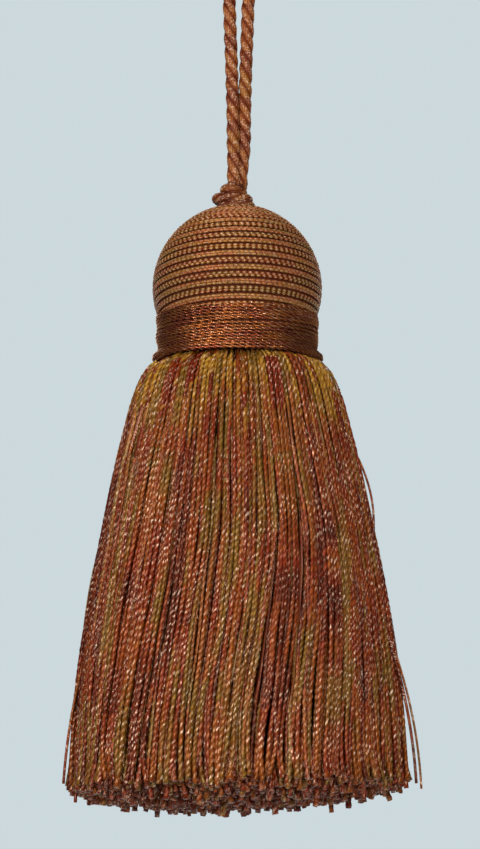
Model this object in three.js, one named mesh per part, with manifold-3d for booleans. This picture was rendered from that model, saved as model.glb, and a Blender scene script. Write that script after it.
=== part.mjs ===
// A key tassel on a doubled cord: a wound ball head, a satin collar with a binding cord at its lower
// edge, and a full skirt of cut yarn.
// Millimetres, +Z up, front towards -Y. The origin is where the loop hangs: the underside of the
// cord at the top of the loop. Everything else lies below it, on the Z axis.
import * as THREE from 'three';
import { mergeVertices } from 'three/addons/utils/BufferGeometryUtils.js';
import Module from 'manifold-3d';

const wasm = await Module();
wasm.setup();

// ---------------------------------------------------------------- driving dimensions

const GAP = 0.3;                    // clearance between neighbouring pieces

const CORD = {
  diameter: 2.4,
  plies: 3,
  lay: 9.3,                         // length of one full turn of the plies
  groove: 0.3,                      // depth of the groove between two plies
  stepsPerLay: 8,
  bendRadius: 5.5,                  // centreline of the bend that hangs on the hook
};

const HEAD = {
  radius: 17.1,
  centreZ: -87.5,
  topZ: -71.15,                     // small flat that carries the knot
  bottomZ: -92.2,
  rows: 18,                         // a row of twisted cord, then a row of gimp, and so on
  rowDepth: 0.4,
  gimpSink: 0.12,                   // the gimp rows lie a little lower than the twisted ones
  segments: 36,
};

const COLLAR = {
  topZ: HEAD.bottomZ - GAP,
  bottomZ: -100.2,
  innerRadius: 14.6,
  topRadius: 16.0,
  bottomRadius: 15.7,
  crown: 0.25,                      // how far each of the two bands swells
  seam: 0.42,                       // height of the seam between them, as a share from the bottom
  segments: 40,
};

const BINDING = {
  diameter: 1.7,
  ringRadius: 16.0,
  centreZ: -101.35,
  plies: 2,
  turns: 12,                        // full turns of its plies in one round of the collar
  groove: 0.2,
  steps: 84,
};

const SKIRT = {
  topZ: BINDING.centreZ - BINDING.diameter / 2 - 0.25,
  headingRadius: COLLAR.innerRadius - GAP,
  headingDrop: 1.1,                 // how far the heading reaches below the skirt's top
  rootRadius: 12.6,
  fill: 0.8,                        // a lock's width at its back as a share of its place there
  rootThickness: 0.85,
  tipThickness: 3.4,
  innerDrop: 8,                     // how much lower the inmost layer leaves the heading
};

// The skirt's outer surface below the heading: how far out it stands at each drop.
const OUTLINE = [
  { drop: 0.9, radius: 17.2 },
  { drop: 3.8, radius: 19.5 },
  { drop: 13, radius: 22.4 },
  { drop: 38, radius: 28.0 },
  { drop: 84.2, radius: 33.7 },
];

// Layers of locks from the outside in. ratio scales the outline; rows are the outline rows used.
const LAYERS = [
  { count: 84, ratio: 1.0, tipDrop: 84.2, rows: [0, 1, 2, 3, 4] },
  { count: 64, ratio: 0.865, tipDrop: 87.0, rows: [0, 1, 2, 4] },
  { count: 46, ratio: 0.715, tipDrop: 88.2, rows: [0, 2, 4] },
  { count: 32, ratio: 0.555, tipDrop: 88.8, rows: [0, 2, 4] },
  { count: 19, ratio: 0.38, tipDrop: 89.2, rows: [1, 4] },
  { count: 8, ratio: 0.18, tipDrop: 89.4, rows: [1, 4] },
];

// Single yarns that stand off the outmost layer. angle is measured from +X towards +Y, in degrees.
const STRAYS = [
  { angle: -3, from: 16, to: 38, lift: 1.6, extra: 0 },
  { angle: -12, from: 52, to: 110, lift: 3.6, extra: 0.3 },
  { angle: 186, from: 60, to: 108, lift: 2.6, extra: 0.2 },
  { angle: 200, from: 70, to: 110, lift: 0.9, extra: 4.5 },
  { angle: 75, from: 48, to: 100, lift: 2.4, extra: 0.5 },
  { angle: 128, from: 20, to: 46, lift: 1.3, extra: 0 },
];
const STRAY_WIDTH = 0.8;

// The cord's centreline, from the knot up its left leg to the start of the bend. The right leg is
// the same turned half round, so the left one lies a little in front where they press together.
const LEG_ROUTE = [
  { x: -1.1, y: -0.7, z: -66.3 },
  { x: -1.15, y: -0.6, z: -62 },
  { x: -1.24, y: -0.4, z: -57 },
  { x: -1.3, y: -0.2, z: -51.5 },
  { x: -1.37, y: -0.05, z: -46 },
  { x: -1.52, y: 0, z: -40 },
  { x: -1.75, y: 0, z: -34 },
  { x: -1.97, y: 0, z: -28 },
  { x: -2.35, y: 0, z: -22.5 },
  { x: -3.0, y: 0, z: -17.5 },
  { x: -4.0, y: 0, z: -12.5 },
  { x: -5.0, y: 0, z: -8 },
];

// The knot's turns from the top down: slanted rings, each with the radius of a crest or a groove.
const KNOT = [
  { z: -66.65, x: -0.1, radius: 2.3, slant: 0 },
  { z: -67.15, x: -0.5, radius: 2.75, slant: 7 },
  { z: -67.95, x: -0.6, radius: 2.7, slant: 11 },
  { z: -68.4, x: -0.6, radius: 2.3, slant: 9 },
  { z: -68.75, x: -0.9, radius: 3.6, slant: 6 },
  { z: -69.25, x: -1.0, radius: 4.1, slant: 5 },
  { z: -69.75, x: -0.9, radius: 3.7, slant: 2 },
  { z: -69.95, x: -0.6, radius: 3.4, slant: 1 },
  { z: -70.3, x: -0.4, radius: 3.9, slant: 0 },
  { z: -70.85, x: -0.4, radius: 3.3, slant: 0 },
];
const KNOT_DEPTH = 0.86;            // the knot is less deep, front to back, than it is wide
const KNOT_SEGMENTS = 20;

// ---------------------------------------------------------------- materials

function yarn(colour, roughness) {
  return new THREE.MeshStandardMaterial({ color: colour, roughness, metalness: 0 });
}

// ---------------------------------------------------------------- geometry helpers

/** The same geometry with its faces turned to point out of the body. */
function facingOut(geometry) {
  const position = geometry.attributes.position;
  const index = geometry.index;
  const [a, b, c] = [new THREE.Vector3(), new THREE.Vector3(), new THREE.Vector3()];
  let volume = 0;
  for (let i = 0; i < index.count; i += 3) {
    a.fromBufferAttribute(position, index.getX(i));
    b.fromBufferAttribute(position, index.getX(i + 1));
    c.fromBufferAttribute(position, index.getX(i + 2));
    volume += a.dot(b.cross(c));
  }
  if (volume < 0) {
    for (let i = 0; i < index.count; i += 3) {
      const first = index.getX(i);
      index.setX(i, index.getX(i + 1));
      index.setX(i + 1, first);
    }
  }
  geometry.computeVertexNormals();
  return geometry;
}

/** A closed body through rings of equally many points, capped at both ends or joined end to end. */
function skin(rings, joined = false) {
  const size = rings[0].length;
  const points = rings.flat();
  const faces = [];
  const at = (ring, side) => (ring % rings.length) * size + (side % size);
  const spans = joined ? rings.length : rings.length - 1;
  for (let ring = 0; ring < spans; ring += 1) {
    for (let side = 0; side < size; side += 1) {
      faces.push(at(ring, side), at(ring, side + 1), at(ring + 1, side + 1));
      faces.push(at(ring, side), at(ring + 1, side + 1), at(ring + 1, side));
    }
  }
  if (!joined) {
    capEnd(points, faces, rings[0], (side) => at(0, side), true);
    capEnd(points, faces, rings.at(-1), (side) => at(rings.length - 1, side), false);
  }
  const geometry = new THREE.BufferGeometry().setFromPoints(points);
  geometry.setIndex(faces);
  return facingOut(geometry);
}

/** Closes one end of a skin: one triangle for three sides, a fan round the middle for more. */
function capEnd(points, faces, ring, at, first) {
  const triangle = (a, b, c) => (first ? faces.push(a, c, b) : faces.push(a, b, c));
  if (ring.length === 3) {
    triangle(at(0), at(1), at(2));
    return;
  }
  const middle = ring.reduce((sum, point) => sum.add(point), new THREE.Vector3());
  points.push(middle.divideScalar(ring.length));
  const centre = points.length - 1;
  for (let side = 0; side < ring.length; side += 1) {
    triangle(centre, at(side), at((side + 1) % ring.length));
  }
}

/** The outline of plied cord, two flanks to a ply and a groove between, turned by an angle. */
function pliedSection({ diameter, plies, groove }, turn) {
  const flank = Math.PI / plies / 2;
  const section = [];
  for (let ply = 0; ply < plies; ply += 1) {
    const crest = turn + (ply * 2 * Math.PI) / plies;
    for (const [angle, radius] of [
      [crest - flank, diameter / 2],
      [crest + flank, diameter / 2],
      [crest + 2 * flank, diameter / 2 - groove],
    ]) {
      section.push({ across: radius * Math.cos(angle), up: radius * Math.sin(angle) });
    }
  }
  return section;
}

/** A section placed at a point, across and up its two directions. */
function placeSection(section, point, acrossAxis, upAxis) {
  return section.map(({ across, up }) => point.clone()
    .addScaledVector(acrossAxis, across)
    .addScaledVector(upAxis, up));
}

function toManifold(geometry) {
  const bare = geometry.clone();
  bare.deleteAttribute('normal');
  bare.deleteAttribute('uv');
  const merged = mergeVertices(bare);
  return new wasm.Manifold(new wasm.Mesh({
    numProp: 3,
    vertProperties: new Float32Array(merged.attributes.position.array),
    triVerts: new Uint32Array(merged.index.array),
  }));
}

function fromManifold(solid) {
  const { vertProperties, triVerts } = solid.getMesh();
  const geometry = new THREE.BufferGeometry();
  geometry.setAttribute('position', new THREE.BufferAttribute(vertProperties, 3));
  geometry.setIndex(new THREE.BufferAttribute(triVerts, 1));
  return facingOut(geometry);
}

// ---------------------------------------------------------------- hanging loop

/** The loop's centreline: up the left leg, round the bend and down the right leg. */
function loopCurve() {
  const left = LEG_ROUTE.map(({ x, y, z }) => new THREE.Vector3(x, y, z));
  const bendCentreZ = CORD.diameter / 2 - CORD.bendRadius;
  const bend = [180, 150, 120, 90, 60, 30, 0].map((degrees) => {
    const angle = THREE.MathUtils.degToRad(degrees);
    return new THREE.Vector3(
      CORD.bendRadius * Math.cos(angle),
      0,
      bendCentreZ + CORD.bendRadius * Math.sin(angle),
    );
  });
  const right = left.map(({ x, y, z }) => new THREE.Vector3(-x, -y, z)).reverse();
  return new THREE.CatmullRomCurve3([...left, ...bend, ...right], false, 'centripetal');
}

/** Three plies laid round the centreline, which keeps so near the XZ plane that Y serves as depth. */
function hangingLoop() {
  const curve = loopCurve();
  const length = curve.getLength();
  const steps = Math.round((length / CORD.lay) * CORD.stepsPerLay);
  const depth = new THREE.Vector3(0, 1, 0);
  const rings = [];
  for (let step = 0; step <= steps; step += 1) {
    const share = step / steps;
    const point = curve.getPointAt(share);
    const across = new THREE.Vector3().crossVectors(curve.getTangentAt(share), depth).normalize();
    const turn = (-2 * Math.PI * share * length) / CORD.lay;
    rings.push(placeSection(pliedSection(CORD, turn), point, across, depth));
  }
  const mesh = new THREE.Mesh(skin(rings), yarn(0x9a5a30, 0.5));
  mesh.name = 'hanging_loop';
  return mesh;
}

// ---------------------------------------------------------------- knot

function loopKnot() {
  const rings = KNOT.map(({ z, x, radius, slant }) => {
    const fall = Math.tan(THREE.MathUtils.degToRad(slant));
    return Array.from({ length: KNOT_SEGMENTS }, (_, segment) => {
      const angle = (segment / KNOT_SEGMENTS) * 2 * Math.PI;
      const across = radius * Math.cos(angle);
      return new THREE.Vector3(x + across, radius * KNOT_DEPTH * Math.sin(angle), z - across * fall);
    });
  });
  const mesh = new THREE.Mesh(skin(rings), yarn(0x8a4b2a, 0.55));
  mesh.name = 'loop_knot';
  return mesh;
}

// ---------------------------------------------------------------- head

/** The ball's winding as a turned profile: a groove and a crest for each row, from the collar up. */
function headProfile() {
  const height = (z) => Math.asin((z - HEAD.centreZ) / HEAD.radius);
  const [low, high] = [height(HEAD.bottomZ), height(HEAD.topZ)];
  const row = (high - low) / HEAD.rows;
  const onBall = (latitude, sink) => new THREE.Vector2(
    (HEAD.radius - sink) * Math.cos(latitude),
    HEAD.centreZ + (HEAD.radius - sink) * Math.sin(latitude),
  );
  const profile = [new THREE.Vector2(0, HEAD.bottomZ)];
  for (let i = 0; i < HEAD.rows; i += 1) {
    const groove = onBall(low + i * row, HEAD.rowDepth);
    groove.y = Math.max(groove.y, HEAD.bottomZ);
    profile.push(groove, onBall(low + (i + 0.5) * row, i % 2 ? HEAD.gimpSink : 0));
  }
  profile.push(onBall(high, HEAD.rowDepth), new THREE.Vector2(0, HEAD.topZ - HEAD.rowDepth));
  return profile;
}

function head() {
  const geometry = new THREE.LatheGeometry(headProfile(), HEAD.segments);
  geometry.rotateX(Math.PI / 2);
  const mesh = new THREE.Mesh(closedLathe(geometry), yarn(0xa06a34, 0.55));
  mesh.name = 'head';
  return mesh;
}

/** A turned body with its seam and poles merged, so that it is one closed surface. */
function closedLathe(geometry) {
  geometry.deleteAttribute('normal');
  geometry.deleteAttribute('uv');
  const merged = mergeVertices(geometry, 1e-4);
  const kept = [];
  const index = merged.index;
  for (let i = 0; i < index.count; i += 3) {
    const corners = [index.getX(i), index.getX(i + 1), index.getX(i + 2)];
    if (new Set(corners).size === 3) kept.push(...corners);
  }
  merged.setIndex(kept);
  return facingOut(merged);
}

// ---------------------------------------------------------------- collar and binding cord

/** Two crowned bands with a seam between them, on a plain inner wall. */
function collar() {
  const { topZ, bottomZ, topRadius, bottomRadius, innerRadius, crown, seam } = COLLAR;
  const level = (share) => THREE.MathUtils.lerp(bottomZ, topZ, share);
  const radius = (share) => THREE.MathUtils.lerp(bottomRadius, topRadius, share);
  const outer = [
    [0, -crown], [seam * 0.25, crown * 0.6], [seam * 0.75, crown * 0.6], [seam, -crown * 0.4],
    [seam + (1 - seam) * 0.2, crown * 0.7], [seam + (1 - seam) * 0.75, crown], [1, -crown * 0.6],
  ];
  const profile = outer.map(([share, swell]) => new THREE.Vector2(radius(share) + swell, level(share)));
  profile.push(new THREE.Vector2(innerRadius, topZ), new THREE.Vector2(innerRadius, bottomZ));
  profile.push(profile[0].clone());
  const geometry = new THREE.LatheGeometry(profile, COLLAR.segments);
  geometry.rotateX(Math.PI / 2);
  const mesh = new THREE.Mesh(closedLathe(geometry), yarn(0x8f4f28, 0.35));
  mesh.name = 'collar';
  return mesh;
}

function collarCord() {
  const rings = [];
  const up = new THREE.Vector3(0, 0, 1);
  for (let step = 0; step < BINDING.steps; step += 1) {
    const share = step / BINDING.steps;
    const angle = share * 2 * Math.PI;
    const outward = new THREE.Vector3(Math.cos(angle), Math.sin(angle), 0);
    const point = outward.clone().multiplyScalar(BINDING.ringRadius).setZ(BINDING.centreZ);
    const section = pliedSection(BINDING, 2 * Math.PI * BINDING.turns * share);
    rings.push(placeSection(section, point, outward, up));
  }
  const mesh = new THREE.Mesh(skin(rings, true), yarn(0x7c4024, 0.5));
  mesh.name = 'collar_cord';
  return mesh;
}

// ---------------------------------------------------------------- skirt

/** A repeatable value from -1 to 1 for a numbered lock. */
function uneven(number, salt) {
  const wave = Math.sin(number * 12.9898 + salt * 78.233) * 43758.5453;
  return 2 * (wave - Math.floor(wave)) - 1;
}

/** How far the fringe drifts sideways and outwards at an angle, growing towards its ends. */
function drift(angle, share) {
  return {
    turn: share * (0.016 * Math.sin(3 * angle + 1) + 0.008 * Math.sin(7 * angle)),
    out: share * (0.45 * Math.sin(5 * angle + 0.7) + 0.3 * Math.sin(9 * angle)),
  };
}

/** How far a stray yarn stands off at a drop: out from one drop and back in at the other. */
function strayLift(stray, drop) {
  if (!stray || drop < stray.from || drop > stray.to) return 0;
  return stray.lift * Math.sin((Math.PI * (drop - stray.from)) / (stray.to - stray.from));
}

/** The drops at which a stray is bent, added to those of its layer. */
function strayDrops(stray, tipDrop) {
  const quarter = (stray.to - stray.from) / 4;
  return [0, 1, 2, 3, 4].map((i) => stray.from + i * quarter).filter((drop) => drop < tipDrop - 3);
}

function outlineRadius(drop) {
  const above = OUTLINE.findLastIndex((row) => row.drop <= drop);
  const row = OUTLINE[Math.min(Math.max(above, 0), OUTLINE.length - 2)];
  const next = OUTLINE[OUTLINE.indexOf(row) + 1];
  return THREE.MathUtils.mapLinear(drop, row.drop, next.drop, row.radius, next.radius);
}

/** One lock: a three-sided strand from inside the heading to its cut end, ridge outwards. */
function lock(layer, number, stray) {
  const angle = ((number + 0.5 * (LAYERS.indexOf(layer) % 2)) / layer.count) * 2 * Math.PI;
  const salt = LAYERS.indexOf(layer) + 1;
  const tip = layer.tipDrop + (stray ? stray.extra : 0.9 * uneven(number, salt));
  const lastDrop = OUTLINE.at(-1).drop;
  const lower = (1 - layer.ratio) * SKIRT.innerDrop;
  let drops = layer.rows.map((row) => OUTLINE[row].drop);
  if (stray) drops = [...drops, ...strayDrops(stray, lastDrop)].sort((a, b) => a - b);
  const rings = [lockSection(angle, SKIRT.rootRadius * layer.ratio, 0, layer, 0, stray)];
  for (const drop of drops) {
    const share = drop / lastDrop;
    const radius = outlineRadius(drop) * layer.ratio + strayLift(stray, drop);
    const down = share === 1 ? tip : drop + lower * (1 - share);
    rings.push(lockSection(angle, radius, down, layer, share, stray));
  }
  return skin(rings);
}

/** The three corners of a lock at one level, square to its run outwards and down. */
function lockSection(angle, radius, drop, layer, share, stray) {
  const { turn, out } = drift(angle, share);
  const tipThickness = stray ? STRAY_WIDTH : SKIRT.tipThickness;
  const thickness = THREE.MathUtils.lerp(SKIRT.rootThickness, tipThickness, share);
  const steep = share > 0 ? THREE.MathUtils.clamp((drop - 0.5) / 6, 0.25, 1) : 0.15;
  const place = ((2 * Math.PI) / layer.count) * (radius - thickness * steep);
  const width = stray ? STRAY_WIDTH : place * SKIRT.fill;
  const outward = new THREE.Vector3(Math.cos(angle + turn), Math.sin(angle + turn), 0);
  const sideways = new THREE.Vector3(-outward.y, outward.x, 0);
  const face = outward.clone().multiplyScalar(steep).setZ(Math.sqrt(1 - steep * steep));
  const ridge = outward.clone().multiplyScalar(radius + out).setZ(SKIRT.topZ - drop);
  return [[0, 0], [0.5, -1], [-0.5, -1]].map(([side, rise]) => ridge.clone()
    .addScaledVector(sideways, side * width)
    .addScaledVector(face, rise * thickness));
}

/** The stray that takes a lock's place in the outmost layer, if there is one. */
function strayAt(layer, number) {
  if (layer !== LAYERS[0]) return undefined;
  return STRAYS.find(({ angle }) => Math.round(((angle / 360 + 1) % 1) * layer.count) === number);
}

function skirt() {
  const height = COLLAR.topZ - (SKIRT.topZ - SKIRT.headingDrop);
  const heading = new THREE.CylinderGeometry(SKIRT.headingRadius, SKIRT.headingRadius, height, 48);
  heading.rotateX(Math.PI / 2);
  heading.translate(0, 0, COLLAR.topZ - height / 2);
  let body = toManifold(heading);
  for (const layer of LAYERS) {
    for (let number = 0; number < layer.count; number += 1) {
      body = body.add(toManifold(lock(layer, number, strayAt(layer, number))));
    }
  }
  const mesh = new THREE.Mesh(fromManifold(body), yarn(0x8e4a2e, 0.5));
  mesh.name = 'skirt';
  return mesh;
}

// ---------------------------------------------------------------- tassel

const tassel = new THREE.Group();
tassel.name = 'tassel';
tassel.add(hangingLoop(), loopKnot(), head(), collar(), collarCord(), skirt());

export default tassel;
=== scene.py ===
"""Looks of the key tassel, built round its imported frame: a knotted loop of three-ply cord, a ball head
wound in twisted cord and double gimp, a satin collar, a binding cord and a skirt of cut two-ply yarn.

Shapes are worked out in millimetres in the row frame (+Z up, front towards -Y, origin at the hanging
point) and turned into metres when a mesh is made.
"""
import math

import bpy
import numpy as np
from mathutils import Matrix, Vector


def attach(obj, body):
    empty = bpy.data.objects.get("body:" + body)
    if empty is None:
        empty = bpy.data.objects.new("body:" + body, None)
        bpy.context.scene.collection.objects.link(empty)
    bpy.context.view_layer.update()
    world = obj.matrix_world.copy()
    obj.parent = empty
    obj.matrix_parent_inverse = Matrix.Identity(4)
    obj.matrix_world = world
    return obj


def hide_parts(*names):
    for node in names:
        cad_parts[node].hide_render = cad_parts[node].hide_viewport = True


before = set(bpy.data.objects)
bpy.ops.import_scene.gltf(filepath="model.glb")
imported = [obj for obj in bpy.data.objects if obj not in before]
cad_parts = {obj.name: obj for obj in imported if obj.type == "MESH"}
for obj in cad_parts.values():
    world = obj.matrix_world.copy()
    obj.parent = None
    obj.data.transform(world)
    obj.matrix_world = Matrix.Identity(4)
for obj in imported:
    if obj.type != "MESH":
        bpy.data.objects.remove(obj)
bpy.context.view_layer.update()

MM = 0.001
TAU = 2 * math.pi
FRONT = np.array([0.0, -1.0, 0.0])
OUTWARDS = np.array([1, 1, 0])  # leaves what points away from the axis
BAKE_MAP = "OFBake"  # the map that textures are baked to
SEED = 724
rng = np.random.default_rng(SEED)

# -------------------- sizes, in millimetres

CORD_DIAMETER = 2.4
CORD_LAY = 9.3  # one full turn of its three plies
BEND_RADIUS = 5.5
# Up the left leg, from the knot to the start of the bend: x, y, z.
LEG_ROUTE = [
    (-1.1, -0.7, -66.3),
    (-1.15, -0.6, -62),
    (-1.24, -0.4, -57),
    (-1.3, -0.2, -51.5),
    (-1.37, -0.05, -46),
    (-1.52, 0, -40),
    (-1.75, 0, -34),
    (-1.97, 0, -28),
    (-2.35, 0, -22.5),
    (-3.0, 0, -17.5),
    (-4.0, 0, -12.5),
    (-5.0, 0, -8),
]

HEAD_RADIUS = 17.1
HEAD_CENTRE_Z = -87.5
HEAD_TOP_Z = -71.15
ROW = 1.5  # height of one row of the winding
WINDING_TILT = math.radians(-7.5)  # of the winding's axis, leaning away from the front
WINDING_ROLL = math.radians(1.2)  # and to the right, so that rows fall towards the left
FRONT_BEADED_ROW = math.radians(1.4)  # the latitude of one beaded row, at the front

COLLAR_TOP_Z = -92.5
COLLAR_BOTTOM_Z = -100.2
COLLAR_THREAD_RADIUS = 15.62
BINDING_RADIUS = 16.0
BINDING_Z = -101.35

SKIRT_TOP_Z = -102.45
# The skirt's outer surface: how far out it stands at each drop below its top.
SKIRT_DROPS = [-0.7, 0.0, 0.8, 2.0, 3.8, 8, 13.6, 22, 34, 46, 62, 84.2]
SKIRT_RADII = [14.8, 16.3, 17.6, 18.6, 19.6, 21.1, 22.5, 24.5, 26.9, 29.2, 31.7, 33.6]
RIM_DROP = 84.2
BELOW_RIM = (92.0, 34.1)  # a drop below the rim, and how far out it lies there
YARN = 1.0  # thickness of the two-ply yarn
YARN_LAY = 3.0  # one full turn of its plies


# -------------------- curves and meshes

def unit(vectors):
    """The vectors brought to a length of one."""
    return vectors / np.maximum(np.linalg.norm(vectors, axis=-1, keepdims=True), 1e-12)


def lengths_along(points):
    """The distance from the first point to each, along the line through them."""
    return np.r_[0, np.cumsum(np.linalg.norm(np.diff(points, axis=0), axis=1))]


def smooth_step(x):
    """Rises from 0 at 0 to 1 at 1, level at both ends."""
    x = np.clip(x, 0, 1)
    return x * x * (3 - 2 * x)


def smooth_interp(x, known_x, known_y):
    """Cubic interpolation through known points with slopes taken from their neighbours."""
    known_x, known_y = np.asarray(known_x, float), np.asarray(known_y, float)
    slope = np.gradient(known_y, known_x)
    at = np.clip(np.searchsorted(known_x, x, side="right") - 1, 0, len(known_x) - 2)
    width = known_x[at + 1] - known_x[at]
    t = (x - known_x[at]) / width
    return (
        (2 * t**3 - 3 * t**2 + 1) * known_y[at]
        + (t**3 - 2 * t**2 + t) * width * slope[at]
        + (3 * t**2 - 2 * t**3) * known_y[at + 1]
        + (t**3 - t**2) * width * slope[at + 1]
    )


def points_at(places, distances, points):
    """Where the line through points is at the given distances along it."""
    return np.stack([np.interp(places, distances, points[:, axis]) for axis in range(3)], -1)


def round_axis(radius, angle, z):
    """Points at a distance from the axis, an angle round it and a height."""
    return np.stack([radius * np.cos(angle), radius * np.sin(angle), z], -1)


def resample(points, spacing):
    """Points spaced evenly along a smooth curve through the given ones, and their distances."""
    points = np.asarray(points, float)
    chord = np.r_[0, np.cumsum(np.sqrt(np.linalg.norm(np.diff(points, axis=0), axis=1)))]
    fine = np.linspace(0, chord[-1], 60 * len(points))
    dense = np.stack([smooth_interp(fine, chord, points[:, axis]) for axis in range(3)], -1)
    distance = lengths_along(dense)
    steps = max(2, int(round(distance[-1] / spacing)) + 1)
    places = np.linspace(0, distance[-1], steps)
    return points_at(places, distance, dense), places


def tube_vertices(centres, fronts, sections):
    """Section points set round each centre: the first axis along fronts, the second square to it.

    centres is (tubes, steps, 3), fronts is too or holds one direction for all, and sections is
    (tubes, steps, sides, 2)."""
    tangents = unit(np.gradient(centres, axis=1))
    first = unit(fronts - (fronts * tangents).sum(-1, keepdims=True) * tangents)
    second = np.cross(tangents, first)
    return (
        centres[:, :, None]
        + sections[..., 0:1] * first[:, :, None]
        + sections[..., 1:2] * second[:, :, None]
    )


# How much of its strip a tube fills on the bake map, and how small its caps are there.
STRIP_FILL = (0.88, 0.992)
CAP_MARGIN = 0.002
CAP_DOT = 0.0012


def strip_map(tubes, steps, sides, rows):
    """A map with a strip of its own for each tube, a long one cut into rows: (u, v) of every corner."""
    wide, high = STRIP_FILL
    span = math.ceil((steps - 1) / rows)
    tube, step, side = np.meshgrid(
        np.arange(tubes), np.arange(steps - 1), np.arange(sides), indexing="ij"
    )
    strip = tube * rows + step // span
    strips = tubes * rows
    corners = []
    for ahead, around in ((0, 0), (0, 1), (1, 1), (1, 0)):
        u = (strip + (1 - wide) / 2 + wide * (side + around) / sides) / strips
        v = (1 - high) / 2 + high * (step % span + ahead) / span
        corners.append(np.stack([u, v], -1))
    return np.stack(corners, -2).reshape(-1, 2)


def tubes_mesh(name, vertices, along, strand, section=None, rows=1):
    """One mesh of many closed tubes, with what the materials need to know at each point.

    vertices is (tubes, steps, sides, 3), and along, the distances, is (tubes, steps). strand is a
    number for each tube that sets it apart from the others. Each map strip is cut into rows."""
    tubes, steps, sides = vertices.shape[:3]
    index = np.arange(tubes * steps * sides).reshape(tubes, steps, sides)
    beside = np.roll(index, -1, axis=2)
    quads = np.stack([index[:, :-1], beside[:, :-1], beside[:, 1:], index[:, 1:]], -1).reshape(-1, 4)
    caps = np.concatenate([index[:, 0, ::-1], index[:, -1]])
    loops = np.concatenate([quads.ravel(), caps.ravel()])
    starts = np.r_[np.arange(len(quads)) * 4, len(quads) * 4 + np.arange(len(caps)) * sides]
    mesh = bpy.data.meshes.new(name)
    mesh.vertices.add(index.size)
    mesh.vertices.foreach_set("co", (vertices * MM).astype(np.float32).ravel())
    mesh.loops.add(len(loops))
    mesh.loops.foreach_set("vertex_index", loops.astype(np.int32))
    mesh.polygons.add(len(starts))
    mesh.polygons.foreach_set("loop_start", starts.astype(np.int32))
    smooth = np.ones(len(starts), bool)
    smooth[len(quads):] = False
    mesh.polygons.foreach_set("use_smooth", smooth)
    mesh.update(calc_edges=True)
    write_attribute(mesh, "along", np.repeat(along, sides))
    write_attribute(mesh, "strand", np.repeat(strand, steps * sides))
    if section:
        for label in ("crest", "ply", "across"):
            write_attribute(mesh, label, np.broadcast_to(getattr(section, label), vertices.shape[:3]))
    uv = strip_map(tubes, steps, sides, rows)
    corners = uv.reshape(tubes, -1, 4, 2)
    ends = np.concatenate([corners[:, 0, 0], corners[:, -1, 3]])
    turn = np.arange(sides) / sides * TAU
    dot = np.stack([np.cos(turn), np.sin(turn)], -1) * CAP_DOT
    cap_uv = (np.clip(ends, CAP_MARGIN, 1 - CAP_MARGIN)[:, None] + dot[None]).reshape(-1, 2)
    layer = mesh.uv_layers.new(name=BAKE_MAP)
    layer.data.foreach_set("uv", np.concatenate([uv, cap_uv]).astype(np.float32).ravel())
    mesh.validate()
    return mesh


def turned_mesh(name, rows, middle_x=0.0, sides=40):
    """A capped body of revolution from (z, radius) rows, top down."""
    z, radius = np.array(rows, float).T
    turn = np.arange(sides) / sides * TAU
    circle = np.stack([np.cos(turn), -np.sin(turn), np.zeros(sides)], -1)
    vertices = radius[:, None, None] * circle[None] + np.array([middle_x, 0, 0])
    vertices[..., 2] = z[:, None]
    return tubes_mesh(name, vertices[None], -z[None], np.array([0.5]))


def write_attribute(mesh, name, values):
    """A number at each vertex, which the materials read by its name."""
    layer = mesh.attributes.new(name, "FLOAT", "POINT")
    layer.data.foreach_set("value", np.ascontiguousarray(values, dtype=np.float32).ravel())


def new_object(name, data):
    """An object that shows the data, linked into the scene."""
    thing = bpy.data.objects.new(name, data)
    bpy.context.scene.collection.objects.link(thing)
    return thing


def aim(thing, direction):
    """Turns a camera or a lamp to look along a direction."""
    thing.rotation_mode = "QUATERNION"
    thing.rotation_quaternion = direction.to_track_quat("-Z", "Y")


def add_piece(mesh, material, node):
    """A visible piece on the root body, named as its mesh is, that stands for a node of the frame."""
    piece = new_object(mesh.name, mesh)
    mesh.materials.append(material)
    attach(piece, "root")
    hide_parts(node)
    return piece


class Section:
    """The outline of round plies laid side by side, with points to each ply.

    For each point it holds the angle, the distance out, the crest (0 between plies, 1 on one), the
    ply that the point is on and how far across that ply it lies (-1 to 1)."""

    def __init__(self, plies, offset, radius, points):
        half = math.pi / plies
        self.angle = (np.arange(plies * points) + points % 2 / 2) * (2 * half / points) - half
        within = (self.angle + half) % (2 * half) - half
        deepest = (0.15 * radius) ** 2  # so that plies set far apart still meet
        self.out = offset * np.cos(within) + np.sqrt(
            np.maximum(radius**2 - (offset * np.sin(within)) ** 2, deepest)
        )
        rise = self.out - self.out.min()
        self.crest = rise / rise.max() if plies > 1 else np.ones(len(rise))
        self.ply = np.floor((self.angle + half) / (2 * half)) / plies
        self.across = within / half

    def turned(self, turns):
        """Its points, turned by each of the given angles: (..., sides, 2)."""
        angle = self.angle + np.asarray(turns)[..., None]
        return np.stack([self.out * np.cos(angle), self.out * np.sin(angle)], -1)


# -------------------- materials

def new_material(name):
    """A material, its node tree and its shader."""
    material = bpy.data.materials.new(name)
    material.use_nodes = True
    tree = material.node_tree
    return material, tree, tree.nodes["Principled BSDF"]


def add_node(tree, kind, inputs=(), **settings):
    """A shader node with its settings; inputs holds (socket, value or output) pairs."""
    node = tree.nodes.new(kind)
    for key, value in settings.items():
        setattr(node, key, value)
    for socket, value in inputs:
        if isinstance(value, bpy.types.NodeSocket):
            tree.links.new(value, node.inputs[socket])
        else:
            node.inputs[socket].default_value = value
    return node


def attribute(tree, name):
    """What write_attribute wrote at each vertex."""
    return add_node(tree, "ShaderNodeAttribute", attribute_name=name).outputs["Fac"]


def maths(tree, operation, a, b=0.0, c=0.0):
    """One sum on numbers or outputs."""
    node = add_node(tree, "ShaderNodeMath", [(0, a), (1, b), (2, c)], operation=operation)
    return node.outputs[0]


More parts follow.
